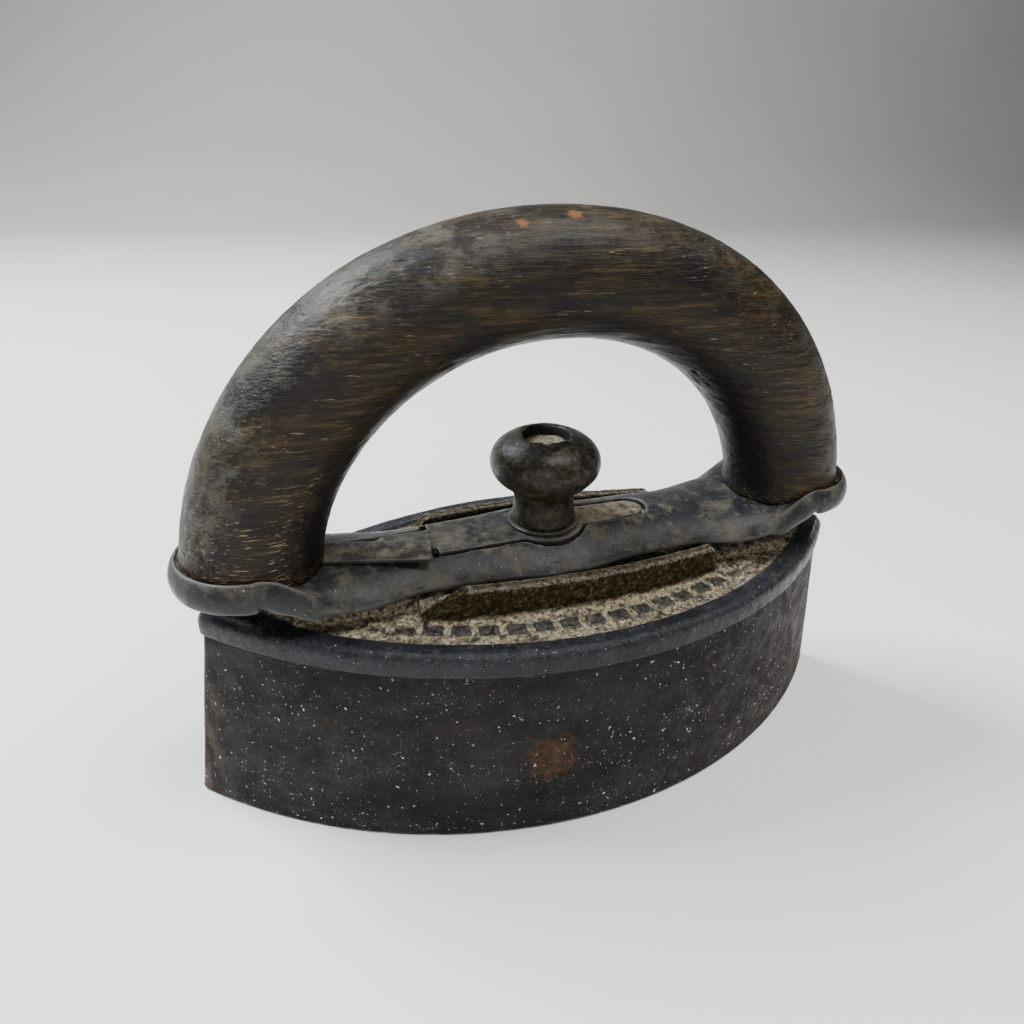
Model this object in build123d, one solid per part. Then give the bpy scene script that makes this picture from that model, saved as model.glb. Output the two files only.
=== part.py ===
from build123d import *
import math
import os

# Detachable-handle sad iron. Millimetres; origin at the centre of the sole face, +Z up,
# +X along the long axis towards the fixed-catch end, the latch at the -X end.

# Iron body: a double-pointed slab, its side flaring out a little towards the sole
body_height = 44.0
sole_half_length = 88.6
sole_half_width = 37.5
body_top_half_length = 82.6
body_top_half_width = 35.6
body_nose_radius = 2.4
pocket_floor = 30.0
pocket_half_length = 68.0
pocket_half_width = 25.0
boss_radius = 6.5

# Cap: cast lid with a rim bead, a sunk channel, two guide ribs and two catch sockets
rim_half_width = 37.0
rim_half_length = 83.4
rim_bead = 6.0
rim_top = 49.7
cap_nose_radius = 3.0
channel_floor = 48.0
table_top = 50.6
seat_top = 51.9
seat_inner = 9.6
table_half_width = 10.5
mound_centre = 69.0
mound_top = 51.3
mound_height = 6.0
mound_half_length = 20.0
mound_half_width = 17.0
rib_top = 56.4
rib_thickness = 3.0
rib_mid = 21.0
rib_end = 17.3
rib_reach = 36.5
rib_end_slope = 2.0
socket_floor = 45.6
socket_half_width = 5.4
socket_near = 41.0
ledge_edge = 49.2
socket_far = 52.2
ledge_underside = 48.9

# Raised border of plain blocks in the channel
block_count = 17
block_pitch = 6.0
block_size = 4.4
block_height = 1.0
block_row = 26.2

# Cap screws
cap_screw_spacing = 25.0
cap_screw_radius = 2.5
cap_screw_head = 4.6
cap_screw_tip = 34.0
fit = 0.05

# Handle: wooden arch on a pressed steel plate with a cup under each foot
handle_shift = -1.95
arch_half_span = 67.6
arch_rise = 65.6
arch_centre = 52.4
arch_power = 2.08
grip_half_depth = 14.3
grip_half_width = 14.0
top_thinning = 1.0
foot_extra = 0.3
foot_bottom = 58.0

# The plate and all that is fixed to it slope up a little towards the fixed catch. Their sizes are given
# level, and each piece is then turned about this point.
plate_slope = 1.3
slope_x = -57.0
slope_z = 56.0
plate_thickness = 2.4
seat_gap = 0.1
plate_half_width = 12.9
plate_belly = 2.4
plate_flare = 2.7
plate_crown = 59.8
plate_edge = 54.6
plate_low_edge = 53.0
cup_floor = 59.2
cup_radius = 14.9
cup_rim = 64.3
cup_low_edge = 57.4
cup_wall_lean = 1.2

# Grip screws and the straps they clamp under the plate
strap_top = 56.3
strap_thickness = 1.6
strap_half_width = 6.4
grip_screw_radius = 2.1
grip_screw_head = 4.6
grip_screw_head_height = 1.9
grip_screw_tip = 88.0

# Latch: lever with a ring for the knob, rocking on a cross pin near its left end
pin_x = -46.0
pin_z = 54.0
pin_radius = 1.5
pin_clearance = 0.05
pin_head = 1.9
ear_bottom = 51.9
eye_radius = 2.8
eye_half_width = 4.2
lever_top = 59.2
lever_thickness = 2.3
lever_half_width = 6.8
lever_shoulder = -30.2
lever_slot_gap = 0.65
tongue_half_width = 5.0
tongue_end = 23.6
nose_bottom = 46.9
nose_top = 48.65
nose_tip = 48.8
knob_x = -2.8
ring_radius = 9.6

# Knob, turned from wood and held down by a through screw
knob_radius = 12.95
knob_top = 81.8
knob_foot = 60.0
recess_radius = 5.2
washer_radius = 8.4
recess_floor = 77.0
knob_screw_radius = 2.2
knob_nut_radius = 4.6
knob_nut_height = 1.8

# Leaf spring lying on the lever
leaf_bottom = 59.4
leaf_thickness = 0.9
leaf_half_width = 4.1
leaf_length = 25.1
leaf_root_x = -56.3
leaf_root_y = -0.2
leaf_skew = 15.0

left_foot = handle_shift - arch_half_span
right_foot = handle_shift + arch_half_span


def lens(half_length, half_width, height):
    near = ThreePointArc((-half_length, 0, height), (0, -half_width, height), (half_length, 0, height))
    far = ThreePointArc((half_length, 0, height), (0, half_width, height), (-half_length, 0, height))
    return Face(Wire([near, far]))


def inner_lens(half_length, half_width, inset, height):
    """The lens whose two arcs lie a constant distance inside those of the outer lens."""
    radius = (half_length**2 + half_width**2) / (2 * half_width) - inset
    width = half_width - inset
    length = math.sqrt(2 * radius * width - width**2)
    return lens(length, width, height)


def block(x_low, x_high, half_width, z_low, z_high):
    length = x_high - x_low
    height = z_high - z_low
    centre = ((x_low + x_high) / 2, 0, (z_low + z_high) / 2)
    return Pos(*centre) * Box(length, 2 * half_width, height)


def upright(x, y, radius, z_low, z_high):
    return Pos(x, y, (z_low + z_high) / 2) * Cylinder(radius, z_high - z_low)


def tip_edges(solid, reach):
    steep = [e for e in solid.edges() if abs(e.center().X) > reach and e.bounding_box().size.Z > 3]
    return steep


def ease(share):
    """Smooth step from 0 to 1 as the share goes from 0 to 1."""
    share = min(max(share, 0), 1)
    return share * share * (3 - 2 * share)


def seated(shape):
    """A piece of the handle turned from level to the sloping way it sits on the iron."""
    return Pos(slope_x, 0, slope_z) * Rot(0, -plate_slope, 0) * Pos(-slope_x, 0, -slope_z) * shape


def level_height(x, height):
    """Where a point of the level handle has to be to end up at a height once the handle is seated."""
    return height - (x - slope_x) * math.tan(math.radians(plate_slope))


def make_sole_body():
    low = lens(sole_half_length, sole_half_width, 0)
    high = lens(body_top_half_length, body_top_half_width, body_height)
    body = loft([low, high], ruled=True)
    body = fillet(tip_edges(body, 75), body_nose_radius)
    sole_edges = [e for e in body.edges() if abs(e.center().Z) < 0.01]
    body = chamfer(sole_edges, 0.6)
    pocket = extrude(lens(pocket_half_length, pocket_half_width, pocket_floor), 20)
    for side in (-1, 1):
        pocket -= upright(side * cap_screw_spacing, 0, boss_radius, pocket_floor - 1, body_height + 10)
    body -= pocket
    for side in (-1, 1):
        body -= upright(side * cap_screw_spacing, 0, cap_screw_radius + fit, cap_screw_tip - 1, 60)
    return body


def make_packing():
    inset = 0.05
    packing = extrude(lens(pocket_half_length - inset, pocket_half_width - inset, pocket_floor + inset), 13.8)
    for side in (-1, 1):
        packing -= upright(side * cap_screw_spacing, 0, boss_radius + inset, pocket_floor - 1, 60)
    return packing


def rib_face(side):
    outer = ThreePointArc((-rib_reach, rib_end), (0, rib_mid), (rib_reach, rib_end))
    inner = ThreePointArc((rib_reach, rib_end - rib_thickness), (0, rib_mid - rib_thickness),
                          (-rib_reach, rib_end - rib_thickness))
    face = make_face(Wire([outer, Line(outer @ 1, inner @ 0), inner, Line(inner @ 1, outer @ 0)]))
    return face if side > 0 else mirror(face, Plane.XZ)


def make_cap():
    cap = extrude(lens(rim_half_length, rim_half_width, body_height), rim_top - body_height)
    cap = fillet(tip_edges(cap, 75), cap_nose_radius)
    cap = fillet([e for e in cap.edges() if abs(e.center().Z - rim_top) < 0.01], 2.2)
    cap = chamfer([e for e in cap.edges() if abs(e.center().Z - body_height) < 0.01], 0.5)
    channel = extrude(inner_lens(rim_half_length, rim_half_width, rim_bead, channel_floor), 10)
    channel += loft([inner_lens(rim_half_length, rim_half_width, rim_bead, rim_top - 1.2),
                     inner_lens(rim_half_length, rim_half_width, rim_bead - 1.3, rim_top + 0.1)], ruled=True)
    cap -= channel
    for side in (-1, 1):
        mound = scale(Sphere(1), by=(mound_half_length, mound_half_width, mound_height))
        mound = Pos(side * mound_centre, 0, mound_top - mound_height) * mound
        cap += mound & extrude(inner_lens(rim_half_length, rim_half_width, 1.6, body_height + 1.5), 10)
    for side in (-1, 1):
        rib = extrude(Pos(0, 0, body_height + 1) * rib_face(side), rib_top - body_height - 1)
        end_edges = [e for e in rib.edges() if e.center().Z > rib_top - 0.01 and abs(e.center().X) > rib_reach - 0.5]
        cap += chamfer(end_edges, rib_end_slope)
    between = extrude(Pos(0, 0, 45) * make_face(Wire([
        ThreePointArc((-rib_reach, -rib_end + 1), (0, -rib_mid + 1), (rib_reach, -rib_end + 1)),
        Line((rib_reach, -rib_end + 1), (rib_reach, rib_end - 1)),
        ThreePointArc((rib_reach, rib_end - 1), (0, rib_mid - 1), (-rib_reach, rib_end - 1)),
        Line((-rib_reach, rib_end - 1), (-rib_reach, -rib_end + 1))])), seat_top - 45)
    cap += between - block(-50, 50, seat_inner, table_top, 60)
    cap += block(-62, 62, table_half_width, 45, table_top)
    row_radius = (rim_half_length**2 + rim_half_width**2) / (2 * rim_half_width) - rim_half_width + block_row
    for side in (-1, 1):
        for number in range(block_count):
            turn = math.degrees((number - (block_count - 1) / 2) * block_pitch / row_radius)
            centre = Pos(0, side * (block_row - row_radius), 0) * Rot(0, 0, -side * turn)
            cap += centre * Pos(0, side * row_radius, channel_floor) * Box(
                block_size, 0.86 * block_size, 2 * block_height)
    for side in (-1, 1):
        mouth = block(socket_near, ledge_edge, socket_half_width, socket_floor, 60)
        undercut = block(ledge_edge - 1, socket_far, socket_half_width, socket_floor, ledge_underside)
        socket = mouth + undercut
        cap -= socket if side > 0 else mirror(socket, Plane.YZ)
        cap -= upright(side * cap_screw_spacing, 0, cap_screw_radius + fit, 40, 60)
        cone = Cone(cap_screw_radius + fit, cap_screw_head + fit, 2.6)
        cap -= Pos(side * cap_screw_spacing, 0, table_top - 1.25) * cone
    return cap


def make_cap_screws():
    screws = []
    for side in (-1, 1):
        screw = upright(side * cap_screw_spacing, 0, cap_screw_radius, cap_screw_tip, table_top - 2)
        screw += Pos(side * cap_screw_spacing, 0, table_top - 1.28) * Cone(cap_screw_radius, cap_screw_head - 0.05, 2.5)
        screw -= Pos(side * cap_screw_spacing, 0, table_top) * Box(1.2, 12, 1.8)
        screws.append(screw)
    return Compound(screws)


def plate_shape(x):
    """Half width, crown height, edge height and edge sharpness of the plate's upper face at one station."""
    reach = abs(x - handle_shift) / arch_half_span
    cup = ease((reach - 0.72) / 0.26)
    belly = max(0, 1 - ((x - knob_x) / 24)**2)**2
    flare = ease((reach - 0.5) / 0.2)
    half_width = plate_half_width + plate_belly * belly + plate_flare * flare
    half_width += (cup_radius - plate_half_width - plate_flare) * cup
    crown = plate_crown + (cup_floor - plate_crown) * ease((reach - 0.35) / 0.3)
    edge = plate_edge + (cup_rim - plate_edge) * cup
    sharpness = 2.8 + 2.4 * ease((reach - 0.6) / 0.25)
    return half_width, crown, edge, sharpness


def curved_half(half_width, crown, edge, sharpness):
    points = []
    for step in (0, 0.3, 0.55, 0.75, 0.9, 1):
        points.append((half_width * step, crown + (edge - crown) * step**sharpness))
    lean = math.atan((edge - crown) * sharpness / half_width)
    return Spline(points, tangents=[(1, 0), (math.cos(lean), math.sin(lean))])


def half_section(x):
    """Half of the plate's cross-section as (outward distance, height) edges, from centre to edge and back.
    The edge is a plain rolled lip along the bridge and grows into a tall rounded wall around each cup."""
    half_width, crown, edge, sharpness = plate_shape(x)
    reach = abs(x - handle_shift) / arch_half_span
    wall = ease((reach - 0.7) / 0.16)
    lean = math.atan((edge - crown) * sharpness / half_width)
    low_width = half_width + (1 - wall) * plate_thickness * math.sin(lean) + wall * cup_wall_lean
    wall_foot = plate_low_edge + (cup_low_edge - plate_low_edge) * ease((reach - 0.82) / 0.18)
    low_edge = (1 - wall) * (edge - plate_thickness * math.cos(lean)) + wall * wall_foot
    top = curved_half(half_width, crown, edge, sharpness)
    bottom = curved_half(low_width, crown - plate_thickness, low_edge, sharpness)
    across, down = low_width - half_width, edge - low_edge
    bulge = plate_thickness / 2 / math.hypot(across, down)
    middle = ((half_width + low_width) / 2 + down * bulge, (edge + low_edge) / 2 + across * bulge)
    lip = ThreePointArc((half_width, edge), middle, (low_width, low_edge))
    return top, lip, bottom


def full_section(x):
    plane = Plane(origin=(x, 0, 0), x_dir=(0, 1, 0), z_dir=(1, 0, 0))
    top, lip, bottom = half_section(x)
    half = Curve([top, lip, bottom])
    edges = list((plane * half).edges()) + list((plane * mirror(half, Plane.YZ)).edges())
    return Face(Wire(edges))


def lever_outline(grow, left_end):
    """Plan of the latch lever from the leaf to the tongue, grown evenly for the slot."""
    wide = lever_half_width + grow
    plan = Pos((left_end - 3) / 2, 0) * Rectangle(-3 - left_end, 2 * wide)
    plan += Pos(knob_x, 0) * Circle(ring_radius + grow)
    tongue = tongue_half_width + grow
    tip = tongue - 1.2
    straight = tongue_end + grow - tip
    plan += make_face(Polyline((knob_x, -tongue), (straight, -tip), (straight, tip), (knob_x, tongue), close=True))
    plan += Pos(straight, 0) * Circle(tip)
    return plan


def slot_cutter():
    plan = lever_outline(lever_slot_gap, lever_shoulder - 1.4)
    plan += Pos(-41, 0) * Rectangle(21, 2 * (eye_half_width + 0.6))
    return extrude(Pos(0, 0, 50) * plan, 20)


def plate_blank():
    """The plate before its slot and screw holes are cut: a bridge lofted between two cups."""
    span = right_foot - left_foot
    steps = (0, 0.02, 0.04, 0.06, 0.08, 0.1, 0.12, 0.145, 0.18, 0.24, 0.3, 0.36, 0.43)
    steps = steps + (0.5,) + tuple(1 - step for step in reversed(steps))
    plate = loft([full_section(left_foot + span * step) for step in steps])
    for foot, side in ((left_foot, -1), (right_foot, 1)):
        top, lip, bottom = half_section(foot)
        axis_line = Line((0, cup_floor - plate_thickness), (0, cup_floor))
        profile = make_face(Wire([axis_line, top, lip, bottom]))
        plane = Plane(origin=(foot, 0, 0), x_dir=(0, 1, 0), z_dir=(1, 0, 0))
        plate += revolve(plane * profile, Axis((foot, 0, 0), (0, 0, 1)), 180 * -side)
    return plate


def make_handle_plate():
    plate = plate_blank() - slot_cutter()
    for foot in (left_foot, right_foot):
        plate -= upright(foot, 0, grip_screw_radius + fit, 50, 62)
    return seated(plate)


def arch_point(angle):
    """Point of the grip's centre line, 0 at the right foot and 180 degrees at the left one."""
    along = math.cos(math.radians(angle))
    up = math.sin(math.radians(angle))
    x = math.copysign(abs(along)**(2 / arch_power), along)
    return handle_shift + arch_half_span * x, arch_centre + arch_rise * abs(up)**(2 / arch_power)


def grip_section(angle):
    x, z = arch_point(angle)
    ahead = arch_point(min(angle + 0.5, 180))
    behind = arch_point(max(angle - 0.5, 0))
    heading = Vector(ahead[0] - behind[0], 0, ahead[1] - behind[1])
    if angle in (0, 180):
        heading = Vector(0, 0, 1 if angle == 0 else -1)
    depth = grip_half_depth + foot_extra * abs(math.cos(math.radians(angle)))**8
    depth -= top_thinning * math.sin(math.radians(angle))**6
    plane = Plane(origin=(x, 0, z), x_dir=(0, 1, 0), z_dir=heading)
    return plane * Ellipse(grip_half_width, depth)


def leaf_strip(margin, length, low, high):
    """A strip along the leaf spring's line from its root, wider than the leaf by the margin."""
    strip = Pos((length - margin) / 2, 0, 0) * Box(length + margin, 2 * (leaf_half_width + margin), high - low)
    return Pos(leaf_root_x, leaf_root_y, (low + high) / 2) * Rot(0, 0, -leaf_skew) * strip


def make_wood_grip():
    grip = loft([grip_section(angle) for angle in range(0, 181, 15)])
    grip &= block(-120, 120, 40, foot_bottom, 200)
    pieces = (grip - seated(Pos(0, 0, seat_gap) * plate_blank())).solids()
    grip = max(pieces, key=lambda piece: piece.volume)
    for foot in (left_foot, right_foot):
        grip -= seated(upright(foot, 0, grip_screw_radius + fit, 50, grip_screw_tip + 1))
    grip -= seated(leaf_strip(0.5, 8, leaf_bottom - 3, leaf_bottom + 1.7))
    return grip


def make_grip_screws():
    screws = []
    under = strap_top - strap_thickness
    for foot in (left_foot, right_foot):
        screw = upright(foot, 0, grip_screw_radius, under - 1, grip_screw_tip - 4)
        screw += Pos(foot, 0, grip_screw_tip - 2) * Cone(grip_screw_radius, 0.4, 4)
        head = upright(foot, 0, grip_screw_head, under - grip_screw_head_height, under)
        low_edges = [e for e in head.edges() if e.center().Z < under - 1.5]
        head = fillet(low_edges, 0.9)
        head -= Pos(foot, 0, under - grip_screw_head_height) * Box(12, 1.1, 1.8)
        screws.append(seated(screw + head))
    return Compound(screws)


def strap(x_low, x_high):
    return block(x_low, x_high, strap_half_width, strap_top - strap_thickness, strap_top)


def make_fixed_catch():
    low = level_height(nose_tip, nose_bottom)
    catch = strap(45.2, right_foot + 7)
    catch += block(45.2, 47.2, 4.2, low, strap_top)
    catch += block(46.2, nose_tip, 4.2, low, level_height(nose_tip, nose_top))
    catch -= upright(right_foot, 0, grip_screw_radius + fit, 40, 70)
    return seated(catch)


def cross_cylinder(x, z, radius, y_low, y_high):
    return Pos(x, (y_low + y_high) / 2, z) * Rot(90, 0, 0) * Cylinder(radius, y_high - y_low)


def make_latch_bracket():
    bracket = strap(left_foot - 7, -50)
    inner = eye_half_width + 0.3
    for side in (-1, 1):
        middle = side * (inner + strap_half_width) / 2
        ear_height = strap_top - ear_bottom
        bracket += Pos(pin_x - 2, middle, ear_bottom + ear_height / 2) * Box(
            10.5, strap_half_width - inner, ear_height)
    bracket -= cross_cylinder(pin_x, pin_z, pin_radius + 0.02, -10, 10)
    bracket -= upright(left_foot, 0, grip_screw_radius + fit, 40, 70)
    return seated(bracket)


def make_latch_pin():
    reach = strap_half_width
    pin = cross_cylinder(pin_x, pin_z, pin_radius, -reach - 0.5, reach + 0.5)
    pin += cross_cylinder(pin_x, pin_z, pin_head, reach + 0.05, reach + 1)
    pin += cross_cylinder(pin_x, pin_z, pin_head, -reach - 1, -reach - 0.05)
    return seated(pin)


def make_latch_lever():
    low = level_height(-nose_tip, nose_bottom)
    blade = extrude(Pos(0, 0, lever_top - lever_thickness) * lever_outline(0, lever_shoulder), lever_thickness)
    neck = make_face(Polyline(
        (lever_shoulder + 1, lever_top), (-41, lever_top), (pin_x - 1.2, pin_z + 2.5), (pin_x - 1.4, low),
        (pin_x + 1.3, low), (pin_x + 1.6, pin_z), (-41, lever_top - lever_thickness),
        (lever_shoulder + 1, lever_top - lever_thickness), close=True))
    lever = blade + extrude(Plane.XZ * neck, eye_half_width, both=True)
    lever += cross_cylinder(pin_x, pin_z, eye_radius, -eye_half_width, eye_half_width)
    lever += block(-nose_tip, pin_x, eye_half_width, low, level_height(-nose_tip, nose_top))
    lever -= cross_cylinder(pin_x, pin_z, pin_radius + pin_clearance, -10, 10)
    lever -= upright(knob_x, 0, knob_screw_radius + fit, 50, 62)
    return seated(lever)


def make_knob():
    bell = Spline((recess_radius + 0.6, knob_top), (9.4, knob_top - 1.4), (11.9, knob_top - 3.6),
                  (knob_radius, knob_top - 6.8), (11.9, knob_top - 10.2), (9.5, knob_top - 12.4),
                  (7.6, knob_top - 14.2), (7.2, knob_top - 17), (7.7, knob_foot))
    profile = make_face(Wire([
        Line((knob_screw_radius + fit, knob_foot), (knob_screw_radius + fit, recess_floor)),
        Line((knob_screw_radius + fit, recess_floor), (recess_radius - 0.4, recess_floor)),
        Line((recess_radius - 0.4, recess_floor), (recess_radius, knob_top - 0.5)),
        Line((recess_radius, knob_top - 0.5), bell @ 0), bell,
        Line(bell @ 1, (knob_screw_radius + fit, knob_foot))]))
    return seated(Pos(knob_x, 0, 0) * revolve(Plane.XZ * profile, Axis.Z))


def make_knob_washer():
    washer = upright(knob_x, 0, washer_radius, lever_top, knob_foot)
    washer -= upright(knob_x, 0, knob_screw_radius + fit, 50, 70)
    return seated(washer)


def make_knob_screw():
    bottom = lever_top - lever_thickness - knob_nut_height - 0.6
    screw = upright(knob_x, 0, knob_screw_radius, bottom, recess_floor + 0.5)
    screw += upright(knob_x, 0, 3.9, recess_floor, recess_floor + 1.5)
    screw -= Pos(knob_x, 0, recess_floor + 1.5) * Box(9, 1, 1.2)
    return seated(screw)


def make_knob_nut():
    top = lever_top - lever_thickness
    nut = extrude(Pos(knob_x, 0, top - knob_nut_height) * RegularPolygon(knob_nut_radius, 6), knob_nut_height)
    nut -= upright(knob_x, 0, knob_screw_radius + fit, 50, 70)
    return seated(nut)


def make_leaf_spring():
    leaf = leaf_strip(0, leaf_length, leaf_bottom, leaf_bottom + leaf_thickness)
    corners = leaf.edges().filter_by(Axis.Z).sort_by(Axis.X)[-2:]
    return seated(fillet(corners, 0.6))


parts = {
    "sole_body": make_sole_body,
    "insulating_packing": make_packing,
    "cap": make_cap,
    "cap_screws": make_cap_screws,
    "handle_plate": make_handle_plate,
    "wood_grip": make_wood_grip,
    "grip_screws": make_grip_screws,
    "fixed_catch": make_fixed_catch,
    "latch_bracket": make_latch_bracket,
    "latch_pin": make_latch_pin,
    "latch_lever": make_latch_lever,
    "knob": make_knob,
    "knob_washer": make_knob_washer,
    "knob_screw": make_knob_screw,
    "knob_nut": make_knob_nut,
    "leaf_spring": make_leaf_spring,
}

os.makedirs("parts", exist_ok=True)
for name, make in parts.items():
    export_step(make(), f"parts/{name}.step")
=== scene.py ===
import math
from itertools import product

import bmesh
import bpy
import numpy as np
from mathutils import Matrix, Vector
from mathutils.bvhtree import BVHTree


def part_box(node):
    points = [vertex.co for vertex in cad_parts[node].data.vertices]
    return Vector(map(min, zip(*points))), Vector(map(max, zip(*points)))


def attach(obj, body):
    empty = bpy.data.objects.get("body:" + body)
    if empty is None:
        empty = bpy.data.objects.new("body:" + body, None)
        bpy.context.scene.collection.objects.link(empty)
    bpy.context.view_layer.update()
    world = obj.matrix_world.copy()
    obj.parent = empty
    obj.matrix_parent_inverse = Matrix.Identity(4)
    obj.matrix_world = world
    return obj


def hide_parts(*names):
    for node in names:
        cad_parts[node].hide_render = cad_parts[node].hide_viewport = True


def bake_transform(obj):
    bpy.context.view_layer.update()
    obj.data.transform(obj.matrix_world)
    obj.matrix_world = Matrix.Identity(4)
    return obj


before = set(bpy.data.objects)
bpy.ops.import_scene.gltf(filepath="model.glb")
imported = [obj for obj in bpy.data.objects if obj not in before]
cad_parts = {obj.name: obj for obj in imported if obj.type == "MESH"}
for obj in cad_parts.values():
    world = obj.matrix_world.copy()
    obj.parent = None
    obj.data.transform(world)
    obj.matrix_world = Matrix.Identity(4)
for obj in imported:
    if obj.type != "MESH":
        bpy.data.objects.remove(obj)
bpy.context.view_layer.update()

MM = 0.001
scene = bpy.context.scene

# Body: rounding of its two points in plan, and how much narrower it is at its top along X and Y
body_nose = 2.4 * MM
body_narrowing = (5.9 * MM, 1.9 * MM)

# Cap: height of the channel's floor; the guide ribs are arcs with this half length, rise and middle distance
channel_floor = 48.0 * MM
rib_half_length = 36.5 * MM
rib_rise = 3.7 * MM
rib_middle = 21 * MM

# Grip: a superellipse of this power from this base height, half this thick, thinner at its top and
# thicker at its feet
arch_power = 2.08
arch_depth = 14.3 * MM
arch_base = 52.4 * MM
top_thinning = 1.0 * MM
foot_flare = 0.3 * MM
chips = (((-2.5, -6.0, 130.2), 1.3), ((-14.0, -7.5, 129.0), 1.0))    # bare spots: centre and radius in mm

# The handle's plate rises towards +X
plate_slope = math.radians(1.3)


# Noise and mesh helpers

def hashed(cell, seed):
    h = cell[:, 0] * 374761393 + cell[:, 1] * 668265263 + cell[:, 2] * 2147483647 + seed * 974634777
    h = (h ^ (h >> 13)) * 1274126177
    h = h ^ (h >> 16)
    return (h & 0xFFFF) / 32767.5 - 1


def noise(points, size, seed=0):
    """Smooth value noise between -1 and 1 at each point; size is one cell's width, a number or three."""
    p = points / np.asarray(size, float) + 0.37 * seed
    cell = np.floor(p).astype(np.int64)
    f = p - cell
    f = f * f * (3 - 2 * f)
    total = np.zeros(len(points))
    for corner in product((0, 1), repeat=3):
        weight = np.ones(len(points))
        for axis in range(3):
            weight *= f[:, axis] if corner[axis] else 1 - f[:, axis]
        total += weight * hashed(cell + np.array(corner), seed)
    return total


def rough_noise(points, size, seed=0, layers=3):
    total = np.zeros(len(points))
    for layer in range(layers):
        total += noise(points, np.asarray(size, float) / 2**layer, seed + 11 * layer) / 2**layer
    return total / 1.6


def smoothstep(low, high, x):
    t = np.clip((x - low) / (high - low), 0, 1)
    return t * t * (3 - 2 * t)


def grid_faces(rows, columns, wrap):
    faces = []
    last = columns if wrap else columns - 1
    for row in range(rows - 1):
        for column in range(last):
            right = (column + 1) % columns
            faces.append((row * columns + column, row * columns + right,
                          (row + 1) * columns + right, (row + 1) * columns + column))
    return faces


def make_piece(name, points, faces):
    mesh = bpy.data.meshes.new(name)
    mesh.from_pydata([tuple(p) for p in points], [], faces)
    mesh.validate()
    mesh.shade_smooth()
    piece = bpy.data.objects.new(name, mesh)
    scene.collection.objects.link(piece)
    return piece


def turn_faces_out(piece, merge=0.0):
    """Joins vertices closer than merge and turns every face outwards."""
    work = bmesh.new()
    work.from_mesh(piece.data)
    if merge:
        bmesh.ops.remove_doubles(work, verts=work.verts, dist=merge)
    bmesh.ops.recalc_face_normals(work, faces=work.faces)
    work.to_mesh(piece.data)
    work.free()


def get_points(piece):
    flat = np.zeros(len(piece.data.vertices) * 3, np.float32)
    piece.data.vertices.foreach_get("co", flat)
    return flat.reshape(-1, 3).astype(float)


def set_points(piece, points):
    piece.data.vertices.foreach_set("co", points.astype(np.float32).ravel())
    piece.data.update()


def get_normals(piece):
    flat = np.zeros(len(piece.data.vertices) * 3, np.float32)
    piece.data.vertices.foreach_get("normal", flat)
    return flat.reshape(-1, 3).astype(float)


def get_edges(piece):
    flat = np.zeros(len(piece.data.edges) * 2, np.int64)
    piece.data.edges.foreach_get("vertices", flat)
    return flat.reshape(-1, 2)


def spread(values, edges, rounds, keep=0.4):
    """Each vertex's value moved towards its neighbours' mean, a number of rounds."""
    count = len(values)
    values = values.reshape(count, -1).copy()
    degree = np.bincount(edges.ravel(), minlength=count).clip(1)
    for _ in range(rounds):
        for column in range(values.shape[1]):
            total = np.bincount(edges[:, 0], values[edges[:, 1], column], count)
            total += np.bincount(edges[:, 1], values[edges[:, 0], column], count)
            values[:, column] = keep * values[:, column] + (1 - keep) * total / degree
    return values.squeeze()


def set_attribute(piece, name, values):
    attribute = piece.data.attributes.new(name, "FLOAT", "POINT")
    attribute.data.foreach_set("value", np.asarray(values, np.float32))


def refined(node, name, voxel, rounds):
    """A dense, evenly meshed copy of a CAD node with its edges softened, ready for surface relief."""
    piece = bpy.data.objects.new(name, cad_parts[node].data.copy())
    scene.collection.objects.link(piece)
    remesh = piece.modifiers.new("remesh", "REMESH")
    remesh.mode = "VOXEL"
    remesh.voxel_size = voxel
    graph = bpy.context.evaluated_depsgraph_get()
    mesh = bpy.data.meshes.new_from_object(piece.evaluated_get(graph))
    piece.modifiers.clear()
    piece.data = mesh
    mesh.materials.clear()
    mesh.shade_smooth()
    set_points(piece, spread(get_points(piece), get_edges(piece), rounds))
    return piece


def mark_wear(piece, rounds=10, reach=0.12 * MM):
    """Adds the attributes dirt (1 in hollows) and wear (1 on outside edges), from how far each point lies
    from its smoothed place."""
    points = get_points(piece)
    away = spread(points, get_edges(piece), rounds) - points
    height = np.einsum("ij,ij->i", away, get_normals(piece))
    set_attribute(piece, "dirt", np.clip(height / reach, 0, 1))
    set_attribute(piece, "wear", np.clip(-height / reach, 0, 1))


def fit(piece, node, body, material):
    """Puts a piece in a CAD node's place, on its body, with its material."""
    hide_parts(node)
    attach(piece, body)
    piece.data.materials.append(material)


def displace(piece, amount):
    set_points(piece, get_points(piece) + get_normals(piece) * np.asarray(amount)[:, None])


# Node materials

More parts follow.
